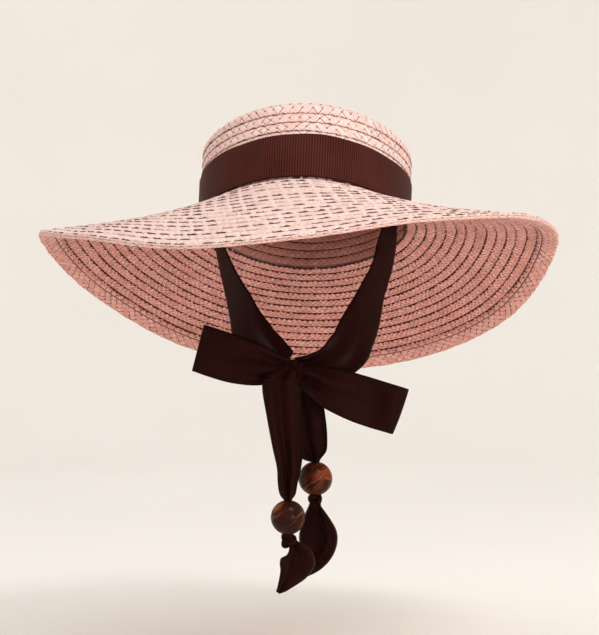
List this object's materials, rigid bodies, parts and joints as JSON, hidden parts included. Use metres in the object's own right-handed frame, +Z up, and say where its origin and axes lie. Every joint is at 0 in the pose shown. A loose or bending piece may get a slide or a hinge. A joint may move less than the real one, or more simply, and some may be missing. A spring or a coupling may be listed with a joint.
{
  "type": "straw hat with ribbon chin ties",
  "caption": "Wide drooping straw hat sewn from braid, with a ribbon band, ribbon chin ties in a bow, and a drilled wooden bead and a knot on each hanging end.",
  "frame": {"origin": "the middle of the inside of the crown's tip, where the crown of a head carries the hat", "axes": "+Z up with the hat as worn, -Y towards the front of the hat, +X to the right as seen from the front"},
  "size_m": [0.4317, 0.391, 0.3831],
  "materials": {
    "straw": "dusty pink straw braid, matt with a faint sheen",
    "ribbon": "very dark brown grosgrain with fine crosswise ribs",
    "bead_wood": "dark red-brown lacquered wood, glossy"
  },
  "bodies": {
    "root": {"crown": "straw", "brim": "straw", "edge_braid": "straw", "hat_band": "ribbon", "hat_band_end": "ribbon", "strap_left": "ribbon", "strap_right": "ribbon", "bow_knot": "ribbon", "bow_loop_left": "ribbon", "bow_loop_right": "ribbon", "tail_left": "ribbon", "tail_right": "ribbon", "bead_left": "bead_wood", "bead_right": "bead_wood", "bead_knot_left": "ribbon", "bead_knot_right": "ribbon", "tip_left": "ribbon", "tip_right": "ribbon"}
  },
  "joints": []
}
